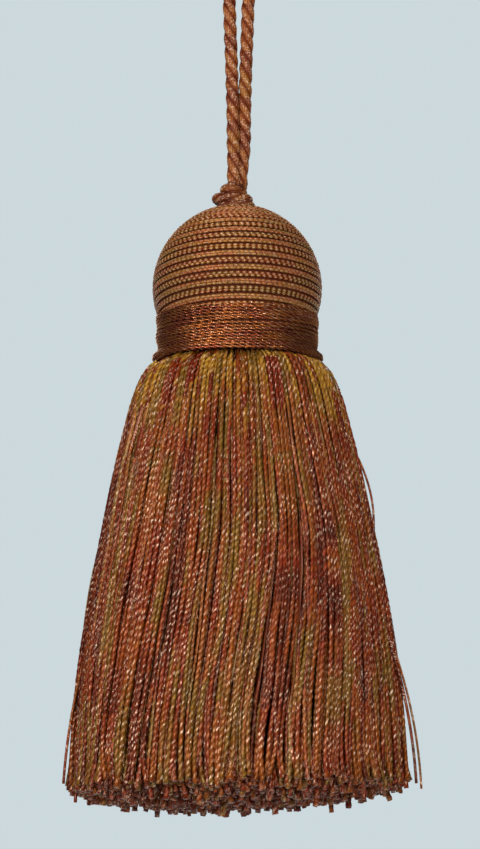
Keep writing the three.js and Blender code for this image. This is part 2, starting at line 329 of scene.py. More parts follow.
def ramp(tree, factor, stops):
    """A colour ramp with stops of (position, (r, g, b))."""
    node = add_node(tree, "ShaderNodeValToRGB", [("Fac", factor)])
    elements = node.color_ramp.elements
    while len(elements) < len(stops):
        elements.new(0.5)
    for element, (position, colour) in zip(elements, stops):
        element.position = position
        element.color = (*colour, 1)
    return node.outputs["Color"]


def grey_ramp(tree, factor, stops):
    """A ramp with stops of (position, brightness)."""
    return ramp(tree, factor, [(position, (level,) * 3) for position, level in stops])


def mix_colour(tree, blend, factor, a, b):
    """Two colours mixed: a is an output, and b is one or (r, g, b)."""
    if isinstance(b, tuple):
        b = (*b, 1)
    inputs = [(0, factor), (6, a), (7, b)]
    node = add_node(tree, "ShaderNodeMix", inputs, data_type="RGBA", blend_type=blend)
    return node.outputs[2]


def noise(tree, x, y, z, detail, **settings):
    """Noise read at a place of our own making."""
    place = add_node(tree, "ShaderNodeCombineXYZ", [("X", x), ("Y", y), ("Z", z)]).outputs[0]
    node = add_node(tree, "ShaderNodeTexNoise", [
        ("Vector", place), ("Scale", 1.0), ("Detail", detail),
    ], **settings)
    return node.outputs["Fac"]


def thread_noise(tree, along_scale, strand_scale, detail, by_ply):
    """Noise that runs along a thread and differs from thread to thread, and from ply to ply."""
    across = maths(tree, "MULTIPLY", attribute(tree, "strand"), strand_scale)
    across = maths(tree, "MULTIPLY_ADD", attribute(tree, "ply"), by_ply, across)
    along = maths(tree, "MULTIPLY", attribute(tree, "along"), along_scale)
    return noise(tree, along, across, 0.0, detail, noise_dimensions="2D")


def filaments(tree, per_mm, slant, wander):
    """The height of the fine filaments of a ply, which lie slanting across it: 0 to 1.

    per_mm of them cross the thread's middle, and slant is how many more or fewer cross its edge."""
    phase = maths(
        tree, "MULTIPLY_ADD", attribute(tree, "across"), slant * TAU,
        maths(tree, "MULTIPLY", attribute(tree, "along"), per_mm * TAU),
    )
    phase = maths(tree, "MULTIPLY_ADD", thread_noise(tree, 1.3, 61.0, 2.0, 7.0), wander, phase)
    return maths(tree, "MULTIPLY_ADD", maths(tree, "SINE", phase), 0.5, 0.5)


def sparkle(tree, along_scale, across_scale, twist, low, high):
    """A mask for painted highlights: small dashes lying along the thread, where filaments catch the
    light: 0 to 1.

    twist is how far across a ply a line along the thread moves in a millimetre."""
    thread = maths(tree, "MULTIPLY_ADD", attribute(tree, "ply"), 31.0, attribute(tree, "strand"))
    across = maths(tree, "MULTIPLY_ADD", attribute(tree, "along"), twist, attribute(tree, "across"))
    dashes = noise(
        tree,
        maths(tree, "MULTIPLY", attribute(tree, "along"), along_scale),
        maths(tree, "MULTIPLY", across, across_scale),
        maths(tree, "MULTIPLY", thread, 37.0),
        detail=1.0,
    )
    return grey_ramp(tree, dashes, [(low, 0), (high, 1)])


BUMP_STRENGTH = 0.5
BUMP_DEPTH = 0.00008  # in metres, of the filaments


def lustrous(tree, shader, colour, height, shine):
    """Wires up dyed viscose: its colour, its filaments' bump and the sockets that make it shine."""
    bump = add_node(tree, "ShaderNodeBump", [
        ("Height", height), ("Strength", BUMP_STRENGTH), ("Distance", BUMP_DEPTH),
    ])
    tree.links.new(colour, shader.inputs["Base Color"])
    tree.links.new(bump.outputs["Normal"], shader.inputs["Normal"])
    for socket, value in shine.items():
        shader.inputs[socket].default_value = value


# Dyes, and the colour of the painted highlights, in linear RGB.
PLUM = (0.068, 0.008, 0.003)
MAROON = (0.100, 0.011, 0.003)
BURGUNDY = (0.136, 0.014, 0.003)
RUST = (0.162, 0.027, 0.003)
COPPER = (0.180, 0.043, 0.004)
TAN = (0.140, 0.052, 0.006)
GOLD = (0.300, 0.149, 0.013)
OLIVE = (0.128, 0.062, 0.006)
GLINT_PAINT = (0.700, 0.490, 0.350)  # painted highlight, where filaments would catch the light

SHINE = {
    "Roughness": 0.30, "Specular IOR Level": 0.13, "Specular Tint": (1, 0.70, 0.50, 1),
    "Metallic": 0.04,
}

# The yarns' colours just under the collar, goldener and brighter than lower down, and how far along, in
# mm, they give way to their own.
TOP_COLOURS = [GOLD, COPPER, OLIVE, GOLD, RUST, GOLD, BURGUNDY]
TOP_FADE = (17.0, 38.0)


def spread(colours):
    """Ramp stops for colours that each hold an even share of a ring of dyes."""
    stops = []
    for number, colour in enumerate(colours):
        start = number / len(colours)
        stops += [(start + 0.02, colour), (start + 0.75 / len(colours), colour)]
    return stops


def yarn_material(name, dyes, flecked=0.3, sparkling=0.9):
    """Space-dyed two-ply yarn: each is its own mix of dyes that changes slowly along it.

    flecked is how uneven its dye is, and sparkling how bright the brightest of its painted highlights
    are."""
    material, tree, shader = new_material(name)
    drift = thread_noise(tree, 0.03, 53.0, 2.0, 0.12)
    dye = maths(tree, "FRACT", maths(tree, "MULTIPLY_ADD", drift, 1.5, attribute(tree, "strand")))
    below = ramp(tree, dye, spread(dyes))
    above = ramp(tree, dye, spread(TOP_COLOURS))
    fade = add_node(tree, "ShaderNodeMapRange", [
        ("Value", maths(tree, "MULTIPLY_ADD", drift, 30.0, attribute(tree, "along"))),
        ("From Min", TOP_FADE[0]), ("From Max", TOP_FADE[1]),
    ], interpolation_type="SMOOTHSTEP").outputs[0]
    colour = mix_colour(tree, "MIX", fade, above, below)
    fleck = ramp(tree, thread_noise(tree, 0.8, 29.0, 3.0, 5.0), [
        (0.30, (1 - flecked, 1 - 1.15 * flecked, 1 - 1.2 * flecked)),
        (0.50, (1.0, 1.0, 1.0)),
        (0.70, (1 + flecked, 1 + flecked, 1 + flecked)),
    ])
    colour = mix_colour(tree, "MULTIPLY", 1.0, colour, fleck)
    crest = attribute(tree, "crest")
    # Painted shade: the colour is darker in the grooves between the plies.
    grooves = ramp(tree, crest, [(0.0, (0.72, 0.60, 0.54)), (0.7, (1.0, 1.0, 1.0))])
    colour = mix_colour(tree, "MULTIPLY", 1.0, colour, grooves)
    height = filaments(tree, 1.5, 1.1, 5.4)
    # Painted highlights: pale dashes mixed into the colour along the ply crests, denser on some
    # stretches of yarn than others.
    dashes = sparkle(tree, 1.2, 2.6, 4 / YARN_LAY, 0.54, 0.64)
    lively = grey_ramp(tree, thread_noise(tree, 0.12, 83.0, 2.0, 0.4), [(0.42, 0.25), (0.60, sparkling)])
    glint = maths(tree, "MULTIPLY", maths(tree, "MULTIPLY", dashes, lively), crest)
    colour = mix_colour(tree, "MIX", glint, colour, GLINT_PAINT)
    lustrous(tree, shader, colour, height, SHINE)
    return material


PATCH_SCALE = 110.0  # of a winding's patches of painted shade, to a metre
# where on the winding the painted shade patches fall
PATCH_SEED = 4.0


def cord_material(
    name, dyes, shine, drift_scale=0.12, groove=0.25, groove_width=0.6, per_mm=1.7, slant=-2.4,
    streak=0.38, pale=0.1, beads=False, spots=0.0, spot_scale=2.6, twist=-0.65, patches=0.0,
):
    """Plied cord: dyes drift along it and from ply to ply, and its grooves are painted dark with shade.

    drift_scale is how fast the dyes change. groove is how bright the painted shade leaves the grooves,
    or the gaps between beads where the thread is beaded, and groove_width how wide that shade is.
    per_mm and slant place the filaments, which streak paints with shade between them, and pale with
    highlights on its crests. spots is how bright the painted highlight dashes are, with their scale and
    twist, and patches how much darker the winding is where shade is painted on it in patches."""
    material, tree, shader = new_material(name)
    dye = maths(tree, "MULTIPLY_ADD", thread_noise(tree, drift_scale, 17.0, 2.0, 0.1), 2.2, -0.6)
    colour = ramp(tree, dye, spread(dyes))
    height = filaments(tree, per_mm, slant, 4.5)
    # Painted shade between the filaments and painted light on them, by streak.
    colour = mix_colour(tree, "MULTIPLY", 1.0, colour, ramp(tree, height, [
        (0.0, (1 - streak, 1 - 1.2 * streak, 1 - 1.3 * streak)), (1.0, (1.2, 1.2, 1.2)),
    ]))
    # Painted shade in the grooves between plies, or in the gaps between beads where the thread is
    # beaded.
    crest = attribute(tree, "bead" if beads else "crest")
    dark = (groove, groove * 0.34, groove * 0.15)
    shade = ramp(tree, crest, [(0.0, dark), (groove_width, (1, 1, 1))])
    colour = mix_colour(tree, "MULTIPLY", 1.0, colour, shade)
    # Painted highlights on the crests, and painted highlight dashes where spots is set.
    lively = maths(tree, "MULTIPLY", thread_noise(tree, 1.9, 83.0, 3.0, 3.0), pale)
    glint = maths(tree, "MULTIPLY", height, maths(tree, "POWER", crest, 3.0))
    colour = mix_colour(tree, "MIX", maths(tree, "MULTIPLY", glint, lively), colour, GLINT_PAINT)
    if spots:
        lit = maths(tree, "MULTIPLY", sparkle(tree, spot_scale, 2.6, twist, 0.54, 0.66), spots)
        colour = mix_colour(tree, "MIX", maths(tree, "MULTIPLY", lit, crest), colour, GLINT_PAINT)
    # Painted shade in patches over the winding, with a little painted light between them.
    if patches:
        mottle = add_node(tree, "ShaderNodeTexNoise", [
            ("Vector", add_node(tree, "ShaderNodeTexCoord").outputs["Object"]),
            ("W", PATCH_SEED), ("Scale", PATCH_SCALE), ("Detail", 1.0),
        ], noise_dimensions="4D")
        patch_dark = (1 - patches, 1 - 1.1 * patches, 1 - 1.1 * patches)
        patch_shade = ramp(tree, mottle.outputs["Fac"], [(0.4, patch_dark), (0.58, (1.08, 1.08, 1.08))])
        colour = mix_colour(tree, "MULTIPLY", 1.0, colour, patch_shade)
    lustrous(tree, shader, colour, height, shine)
    return material


def shadow_material(name):
    """Painted shade: a dark colour for what is seen only at the bottom of grooves."""
    material, tree, shader = new_material(name)
    fuzz = add_node(tree, "ShaderNodeTexNoise", [("Scale", 900.0), ("Detail", 3.0)])
    colour = ramp(tree, fuzz.outputs["Fac"], [
        (0.3, (0.036, 0.004, 0.001)), (0.7, (0.085, 0.015, 0.002)),
    ])
    tree.links.new(colour, shader.inputs["Base Color"])
    shader.inputs["Roughness"].default_value = 0.9
    shader.inputs["Specular IOR Level"].default_value = 0.1
    return material


# -------------------- camera and cords

VIEW_DISTANCE = 900.0
VIEW_RISE = math.radians(7.07)  # the camera looks up at the tassel
VIEW_CENTRE = (0.55, 0.0, -115.0)  # what lies at the middle of the picture
FRAME_HEIGHT_PX = 849
SENSOR_MM = 36.0
PX_PER_MM = 5.0  # at the tassel's axis


def make_camera():
    """A camera where the photograph was taken from."""
    data = bpy.data.cameras.new("camera")
    data.sensor_width = SENSOR_MM
    data.lens = SENSOR_MM * PX_PER_MM * VIEW_DISTANCE / FRAME_HEIGHT_PX
    data.clip_start = 0.01
    camera = new_object("camera", data)
    forward = Vector((0, math.cos(VIEW_RISE), math.sin(VIEW_RISE)))
    camera.location = (Vector(VIEW_CENTRE) - forward * VIEW_DISTANCE) * MM
    aim(camera, forward)
    bpy.context.scene.camera = camera


def loop_route():
    """The cord's centreline: up the left leg, round the bend and down the right leg."""
    left = [Vector(point) for point in LEG_ROUTE]
    centre_z = CORD_DIAMETER / 2 - BEND_RADIUS
    bend = [
        Vector((BEND_RADIUS * math.cos(a), 0, centre_z + BEND_RADIUS * math.sin(a)))
        for a in (math.radians(degrees) for degrees in (180, 150, 120, 90, 60, 30, 0))
    ]
    right = [Vector((-x, -y, z)) for x, y, z in reversed(LEG_ROUTE)]
    return np.array([*left, *bend, *right])


PLIES = 3  # of every cord and of the satin thread
YARN_SLIDE = 2.2  # how fast the yarns of a ply cross it, against the ply's own turn


def plied_cord(
    name, line, diameter, lay, offset, phase, strand, points=12, rows=1, yarns=0, relief=0.0
):
    """The mesh of one plied cord. line holds its centres, the distances along it and which way is out.

    offset is how far its plies lie from its middle, as a share of its radius. Where yarns are given,
    that many show on each ply, with a relief in mm, nearly along the cord."""
    centres, distances, fronts = line
    radius = diameter / 2
    section = Section(PLIES, radius * offset, radius * (1 - offset), points)
    outline = section.turned(phase - TAU * distances / lay)
    if yarns:
        slide = section.across - YARN_SLIDE * PLIES / lay * distances[:, None]
        ripple = relief * np.sin(TAU * yarns / 2 * slide) * section.crest
        outline *= (1 + ripple / section.out)[..., None]
    skin = tube_vertices(centres[None], fronts[None], outline[None])
    return tubes_mesh(name, skin, distances[None], np.array([strand]), section, rows)


LOOP_STEP = 0.35  # between the centres along the loop
CREST_DIAMETER = 1.12 * CORD_DIAMETER  # over the crests of the plies, where it is thickest
CORD_OFFSET = 0.31
LEG_STRAND = 0.31  # the legs' dyes run on into the knot


def make_loop(material):
    """The hanging loop."""
    centres, distances = resample(loop_route(), LOOP_STEP)
    length = float(distances[-1])
    # The legs press together towards the knot, and hang a little to the right of it.
    centres[:, 0] *= 1 - 0.09 * smooth_step((-40 - centres[:, 2]) / 15)
    centres[:, 0] *= 1 - 0.25 * smooth_step((-57 - centres[:, 2]) / 9)
    centres[:, 0] += 0.3 * smooth_step((centres[:, 2] + 66) / 8)
    mesh = plied_cord(
        "loop_cord", (centres, distances, FRONT), CREST_DIAMETER, CORD_LAY,
        offset=CORD_OFFSET, phase=math.radians(120) + math.pi * length / CORD_LAY,
        strand=LEG_STRAND, rows=6, yarns=3, relief=0.04,
    )
    piece = add_piece(mesh, material, "hanging_loop")


# -------------------- knot

# The knot's turns from the top down: x and z of each one's middle, how far out it runs, how steeply
# it slopes down to the right, how thick its cord lies, and where its plies start.
KNOT_TURNS = [
    (-0.75, -67.85, 1.45, 0.22, 2.5, 0.4),
    (-1.0, -69.45, 2.95, 0.02, 2.15, 1.9),
    (-0.5, -70.15, 2.8, -0.16, 1.75, 3.1),
    (-0.1, -71.0, 3.25, -0.05, 1.4, 5.0),
]
KNOT_DEPTH = 0.88  # from front to back, as a share of its width
KNOT_MIDDLE_X = -0.6
KNOT_MIDDLE = [(-66.3, 1.5), (-67.4, 2.0), (-68.4, 2.4), (-69.2, 3.1), (-70.3, 3.1), (-70.8, 2.6)]
KNOT_LEG = 4.5  # how much of each leg goes on into the knot
KNOT_LEG_SPREAD = 0.68  # how far apart the legs lie there, against the route's first point


def make_knot(material, shadow):
    """Turns of the cord round the roots of the legs, on a filled middle."""
    for number, (x, z, out, slope, thick, phase) in enumerate(KNOT_TURNS):
        angle = np.linspace(0, TAU, 121) + 1.3 + 0.9 * number
        radius = out + 0.12 * np.sin(2 * angle + phase)
        centres = np.stack([
            x + radius * np.cos(angle),
            KNOT_DEPTH * radius * np.sin(angle),
            z - slope * radius * np.cos(angle) + 0.14 * np.sin(2 * angle + number),
        ], -1)
        distances = lengths_along(centres)
        lay = distances[-1] / max(1, round(distances[-1] / CORD_LAY))
        fronts = centres - np.array([x, 0, z])
        mesh = plied_cord(
            f"knot_turn_{number}", (centres, distances, fronts), thick, lay, offset=0.22,
            phase=phase, strand=0.2 + 0.2 * number, rows=2, yarns=4, relief=0.04,
        )
        add_piece(mesh, material, "loop_knot")
    for number, side in enumerate((-1, 1)):
        fall = np.linspace(0, 1, 25)
        leg = np.array(LEG_ROUTE[0]) * np.array([-KNOT_LEG_SPREAD * side, -side, 1])
        centres = leg + np.stack([(-0.3 - 0.5 * side) * fall**1.3, 0 * fall, 0.3 - 4.2 * fall], -1)
        mesh = plied_cord(
            f"knot_leg_{number}", (centres, KNOT_LEG * fall, FRONT), 1.06 * CORD_DIAMETER, CORD_LAY,
            offset=CORD_OFFSET, phase=1.0, strand=LEG_STRAND, yarns=3, relief=0.07,
        )
        add_piece(mesh, material, "loop_knot")
    # The filled middle is coloured with the painted shade.
    add_piece(turned_mesh("knot_middle", KNOT_MIDDLE, KNOT_MIDDLE_X), shadow, "loop_knot")


# -------------------- head

def on_ball(latitude, azimuth, radius):
    """Points on the ball, at places given in the winding's own leaning frame."""
    flat = np.cos(latitude)
    x = flat * np.cos(azimuth)
    y = flat * np.sin(azimuth)
    z = np.sin(latitude)
    cos, sin = math.cos(WINDING_TILT), math.sin(WINDING_TILT)
    y, z = y * cos - z * sin, y * sin + z * cos
    cos, sin = math.cos(WINDING_ROLL), math.sin(WINDING_ROLL)
    x, z = x * cos + z * sin, z * cos - x * sin
    return radius * np.stack([x, y, z], -1) + np.array([0, 0, HEAD_CENTRE_Z])


def winding(offset, radius, spacing, low, high):
    """A helix on the ball whose rows lie offset mm below the middle of the beaded rows."""
    pitch = 2 * ROW / HEAD_RADIUS
    front = FRONT_BEADED_ROW + WINDING_TILT
    shift = -offset / HEAD_RADIUS
    turns = (high - low) / pitch
    azimuth = np.linspace(0, turns * TAU, int(turns * 240))
    start = low - (front + shift)
    latitude = low + azimuth / TAU * pitch
    azimuth = azimuth + start / pitch * TAU + 1.5 * math.pi
    points = on_ball(latitude, azimuth, radius)
    distance = lengths_along(points)
    places = np.arange(0, distance[-1], spacing)
    return points_at(places, distance, points), places


HEAD_LOW = math.radians(-30)  # the latitudes between which it is wound
HEAD_HIGH = math.radians(80)
WINDING_DEPTH = 0.38  # how far in the middle of each thread lies
BALL_DEPTH = 0.68  # and the ground between the rows, coloured with painted shade
BALL_HIGH = math.radians(76)
BALL_LOW_Z = -94.5
TOP_FLAT = 0.4  # how far the threads at the very top are pressed in by the knot
GIMP = 0.62  # thickness of each thread of a row
GIMP_APART = 0.49  # between the two threads of a row
GIMP_SIDES = 5
GIMP_STEP = 0.8  # from one step to the next along a smooth thread
BEAD = 1.2  # from one bead to the next along a beaded one
BEAD_STEPS = 6
BEAD_RISE = 0.09


def make_head(beaded, smooth, shadow):
    """Rows of two threads side by side, a beaded pair and a smooth pair wound on together."""
    middle = np.array([0, 0, HEAD_CENTRE_Z])
    top = HEAD_TOP_Z - TOP_FLAT
    section = Section(1, 0.0, GIMP / 2, GIMP_SIDES)
    for name, offset, material in (
        ("head_bead_0", -GIMP_APART / 2, beaded),
        ("head_bead_1", GIMP_APART / 2, beaded),
        ("head_smooth_0", ROW - GIMP_APART / 2, smooth),
        ("head_smooth_1", ROW + GIMP_APART / 2, smooth),
    ):
        spacing = BEAD / BEAD_STEPS if material is beaded else GIMP_STEP
        centres, distances = winding(
            offset, HEAD_RADIUS - WINDING_DEPTH, spacing, HEAD_LOW, HEAD_HIGH
        )
        fronts = centres - middle
        centres[..., 2] = np.minimum(centres[..., 2], top)
        wander = 0.5 * np.sin(distances / 17) + 0.4 * np.sin(distances / 7.3)
        bead = np.cos(TAU * (distances - 0.3 * offset) / BEAD + wander) * 0.5 + 0.5
        outline = section.turned(0 * distances)
        if material is beaded:
            swell = BEAD_RISE / GIMP * (2 * bead - 1.5)
            outline *= (1 + swell)[:, None, None]
        skin = tube_vertices(centres[None], fronts[None], outline[None])
        strand = np.array([0.4 + 0.004 * (offset > 1)])
        mesh = tubes_mesh(name, skin, distances[None], strand, section, rows=20)
        write_attribute(mesh, "bead", np.repeat(bead, GIMP_SIDES))
        add_piece(mesh, material, "head")
    # The ball under the winding shows only between the rows, and is coloured with the painted shade.
    ball_low = math.asin((BALL_LOW_Z - HEAD_CENTRE_Z) / HEAD_RADIUS)
    ball = HEAD_RADIUS - BALL_DEPTH
    rows = [
        (min(HEAD_CENTRE_Z + ball * math.sin(a), top), ball * math.cos(a))
        for a in np.linspace(BALL_HIGH, ball_low, 24)
    ]
    rows.insert(0, (top + 0.05, 2.0))
    add_piece(turned_mesh("head_ball", rows, sides=64), shadow, "head")


# -------------------- collar and binding

COLLAR_ROWS = 12
COLLAR_SEAM_ROW = 5.5  # rows below the top at which the two bands meet
COLLAR_PARTING = 0.2  # how far each band is drawn away from the other
COLLAR_CROWN = 0.25  # how far the collar swells at half its height
SATIN_STEPS = 2.6  # steps to a millimetre
SATIN = 0.78  # thickness of the satin thread
SATIN_OFFSET = 0.42
SATIN_LAY = -4.6  # its plies are laid the other way from the cord's


def uneven(distances, amount):
    """A slow drift of the twist along a thread, so that neighbouring rows don't line up."""
    return amount * (np.sin(distances / 3.1) + np.sin(distances / 7.7 + 1) + np.sin(distances / 1.9 + 2))


def make_collar(material, shadow):
    """Satin thread wound round the neck from top to bottom, in two bands."""
    pitch = (COLLAR_TOP_Z - COLLAR_BOTTOM_Z) / (COLLAR_ROWS + 0.4)
    turns = COLLAR_ROWS + 0.8
    turn = np.linspace(0, turns, int(turns * TAU * COLLAR_THREAD_RADIUS * SATIN_STEPS))
    share = np.minimum(turn / COLLAR_ROWS, 1)
    crown = COLLAR_CROWN * np.sin(share * math.pi) ** 0.6
    radius = COLLAR_THREAD_RADIUS + crown + 0.15 * (1 - share)
    radius += 0.07 * np.sin(turn * 5.3) + 0.06 * np.sin(turn * 13.7)
    angle = -turn * TAU - 0.6
    wave = 0.12 * np.sin(angle * 2 + 0.6 * turn) + 0.09 * np.sin(angle * 5 + 1.7 * turn)
    parting = COLLAR_PARTING * np.tanh((COLLAR_SEAM_ROW - turn) / 0.4)
    z = COLLAR_TOP_Z - pitch * (0.35 + turn) + (wave + parting) * np.sin(share * math.pi)
    centres = round_axis(radius, angle, z)
    distances = turn * TAU * COLLAR_THREAD_RADIUS
    line = (centres, distances, centres * OUTWARDS)
    mesh = plied_cord(
        "collar_thread", line, SATIN, SATIN_LAY,
        points=2, offset=SATIN_OFFSET, phase=uneven(distances, 0.45), strand=0.7, rows=24,
    )
    add_piece(mesh, material, "collar")
    # A ground under the thread, coloured with the painted shade, which shows in the gaps between the
    # rows.
    rows = [
        (COLLAR_TOP_Z - 0.2, 14.7),
        (COLLAR_TOP_Z - 0.3, 15.6),
        ((COLLAR_TOP_Z + COLLAR_BOTTOM_Z) / 2, 15.75),
        (COLLAR_BOTTOM_Z + 0.1, 15.5),
        (COLLAR_BOTTOM_Z, 14.7),
    ]
    add_piece(turned_mesh("collar_ground", rows, sides=64), shadow, "collar")


BINDING_LAYS = 22  # turns of a binding thread's plies in one round
# The binding's threads: how far above its middle and how far out each runs, at the sides and in front.
BINDING_THREADS = [
    ((0.72, 0.30), (0.57, -0.36)),
    ((0.28, 0.77), (-0.05, -0.34)),
    ((-0.22, 0.82), (-0.1, -0.95)),
    ((-0.68, 0.43), (0.3, -0.95)),
]


def make_binding(material):
    """Turns of the same thread round the collar's lower edge, standing out at the sides."""
    angle = np.linspace(0, TAU, 321)
    for number, (side, front) in enumerate(BINDING_THREADS):
        (side_up, side_out), (front_up, front_out) = side, front
        sideways = np.cos(angle) ** 2
        radius = BINDING_RADIUS + front_out + (side_out - front_out) * sideways
        radius = radius + 0.05 * np.sin(3 * angle + number)
        z = BINDING_Z + front_up + (side_up - front_up) * sideways - 0.3 * sideways**4
        centres = round_axis(radius, angle, z)
        distances = angle * BINDING_RADIUS
        line = (centres, distances, centres * OUTWARDS)
        mesh = plied_cord(
            f"binding_thread_{number}", line, SATIN, -distances[-1] / BINDING_LAYS, points=2,
            offset=SATIN_OFFSET, phase=uneven(distances, 0.4) * np.sin(angle / 2) + 2.1 * number,
            strand=0.73 + 0.02 * number, rows=4,
        )
        add_piece(mesh, material, "collar_cord")


# -------------------- skirt

# Layers of yarn from the outside in: how many, how far out as a share of the outer surface, the
# points to a ply, how many mm of each show their twist, and how many pieces the layer makes.
SKIRT_LAYERS = [
    {"name": "outer", "count": 196, "share": 0.985, "points": 3, "plied": 100, "parts": 2},
    {"name": "second", "count": 186, "share": 0.967, "points": 2, "plied": 66, "parts": 2},
    {"name": "third", "count": 170, "share": 0.94, "points": 2, "plied": 15, "parts": 1},
    {"name": "fourth", "count": 165, "share": 0.905, "points": 2, "plied": 9, "parts": 1},
]
INNER_SHARES = np.arange(0.865, 0.02, -0.045)
INNER_PITCH = 1.08  # between neighbours in a ring of inner yarns, at the cut ends
INNER_PLIED = 3.2  # how many mm of an inner yarn show their twist
INNER_YARN = 1.15  # its thickness
PLIED_STEPS = 5  # steps to a lay where a yarn shows its twist
PLAIN_STEP = 11.0  # spacing of the steps where it is hidden and left plain
INNER_STEP = 22.0  # and in the inner yarns
INNER_DROP = 8.0  # how much lower the inmost yarns leave the heading
DOME = 4.4  # how much lower the inmost yarns end
SUNK = 0.5  # how deep every other yarn lies at the top, where they are crowded
SUNK_DROP = 42.0  # and the drop by which it no longer does
CROSSING = (0.10, 3.0, 0.45)  # the share of yarns that cross others, how far, and how far out
LIFT = 0.24  # how unevenly yarns stand out
LOCKING = 0.13  # how much closer yarns lie in the middle of a lock
CURL = (7.0, 0.5)  # the length of each cut end that curls, and how far

# Where the fringe as a whole leans sideways: the middle angle and width of the stretch that does, the
# drops between which it does, how far it goes in mm, and the width and dye of the yarns at its middle
# that are all one colour.
LEANS = [
    (-68.0, 50.0, 30, 84, -7.0, 5.5, 0.27),
    (-122.0, 12.0, 46, 84, -2.6, 2.2, 0.47),
    (-50.0, 16.0, 8, 54, 2.6, 3.0, 0.90),
    (-130.0, 16.0, 5, 52, -2.4, 3.0, 0.27),
    (40.0, 24.0, 40, 84, 6.0, 4.0, 0.27),
    (118.0, 22.0, 30, 84, -6.0, 4.0, 0.62),
]


def tip_drop(share, angle):
    """Where yarns are cut: the middle hangs lower than the rim, and the rim is a little askew."""
    rim = 0.7 * np.cos(angle - math.radians(190)) * share - 0.3 * share
    tufts = 0.7 * np.sin(9 * angle + 13 * share) * np.sin(4 * angle - 21 * share) * share
    return RIM_DROP + DOME * np.sqrt(np.clip(1 - share**2, 0, 1)) + rim + tufts


def skirt_radius(drops):
    """How far out the skirt's outer surface lies at each drop."""
    drop, radius = BELOW_RIM
    return smooth_interp(np.minimum(drops, drop), [*SKIRT_DROPS, drop], [*SKIRT_RADII, radius])


def surface_drift(angle, share):
    """How the fringe as a whole stands out at an angle, growing towards its ends."""
    return share * (0.45 * np.sin(5 * angle + 0.7) + 0.3 * np.sin(9 * angle))


def clumping(angle, fall, phase):
    """Sideways pull, in radians, that gathers yarns here and there into locks."""
    pull = LOCKING * np.sin(23 * angle + phase + 11 * fall) / 23
    pull = pull + LOCKING * np.sin(41 * angle + 2 * phase - 17 * fall) / 41
    wide = 0.014 * np.sin(3 * angle + 1) + 0.012 * np.sin(7 * angle + 0.4)
    return pull * np.clip(fall * 1.6, 0, 1) + wide * fall


def yarn_drops(plied, plain_step, tips):
    """The drop at each step of each yarn, coarse where hidden and fine where plied, and how many
    of the steps are plain."""
    start = SKIRT_DROPS[0]
    plied = min(plied, RIM_DROP - start - 1.0)
    plain = np.arange(start, RIM_DROP - plied - 1.0, plain_step)
    if len(plain) < 2:
        plain = np.array([start])
    share = np.linspace(0, 1, int(plied / YARN_LAY * PLIED_STEPS) + 1)
    tail = tips[:, None] - plied * (1 - share)[None]
    return np.concatenate([np.broadcast_to(plain, (len(tips), len(plain))), tail], 1), len(plain)


def yarn_ring(share, count):
    """A ring of yarns: their angles and how far out they lie."""
    angle = (np.arange(count) + rng.uniform(-0.3, 0.3, count)) / count * TAU + 40 * share
    return angle % TAU, np.full(count, share)


def yarn_lines(angle, share, plied, plain_step, jitter):
    """Centrelines of yarns, the distances along them, how many of their steps are plain, and their
    dyes. jitter is how unevenly they are cut."""
    count = len(angle)
    tips = tip_drop(share, angle) + rng.normal(0, jitter, count)
    drops, plain = yarn_drops(plied, plain_step, tips)
    fall = np.clip(drops / RIM_DROP, 0, 1.08)
    crossing_share, crossing_far, crossing_lift = CROSSING
    crossing = np.where(rng.random(count) < crossing_share, rng.normal(0, crossing_far, count), 0)
    wander = rng.normal(0, 1, (count, 3))
    phase = rng.uniform(0, TAU, (count, 2))
    sideways = (
        crossing[:, None] * fall**1.5
        + 0.2 * wander[:, :1] * fall
        + 0.28 * wander[:, 1:2] * np.sin(fall * 9 + phase[:, :1]) * fall
        + 0.16 * wander[:, 2:3] * np.sin(fall * 23 + phase[:, 1:]) * np.sqrt(fall)
    )
    lift = (rng.normal(0, LIFT, count) + np.where(crossing != 0, crossing_lift, 0))[:, None]
    lift = lift * np.clip(fall * 5, 0, 1) * np.minimum(1, 2 * share)[:, None]
    sunk = np.where(np.arange(count) % 2 == 1, SUNK, 0)[:, None]
    lift = lift - sunk * (1 - smooth_step(drops / SUNK_DROP)) * (share[:, None] > 0.9)
    radius = skirt_radius(drops) * share[:, None] + surface_drift(angle[:, None], fall) + lift
    dyes = neighbourly(count)
    for degrees, width, start, end, shift, lock, dye in LEANS:
        off = (np.degrees(angle) - degrees + 180) % 360 - 180
        middle = np.abs(off) < lock
        over = smooth_step((drops - start) / (end - start))
        sideways = sideways + (shift * np.exp(-(off / width) ** 2))[:, None] * over
        if share[0] > 0.97:  # in the outer layer alone
            radius = radius + (0.2 * middle)[:, None] * smooth_step(over * 4)
            dyes = np.where(middle, dye, dyes)
    turn = angle[:, None] + clumping(angle[:, None], fall, 60 * (1 - share[:, None]))
    turn = turn + sideways / np.maximum(radius, 6)
    down = drops + (1 - share[:, None]) * INNER_DROP * np.clip(1 - fall, 0, 1)
    points = round_axis(radius, turn, SKIRT_TOP_Z - down)
    curl_length, curl_far = CURL
    curl = np.clip(1 - (tips[:, None] - drops) / curl_length, 0, 1) ** 2
    points[..., :2] += curl[..., None] * rng.normal(0, curl_far, (count, 1, 2))
    steps = np.linalg.norm(np.diff(points, axis=1), axis=2)
    return points, np.concatenate([np.zeros((count, 1)), np.cumsum(steps, axis=1)], 1), plain, dyes


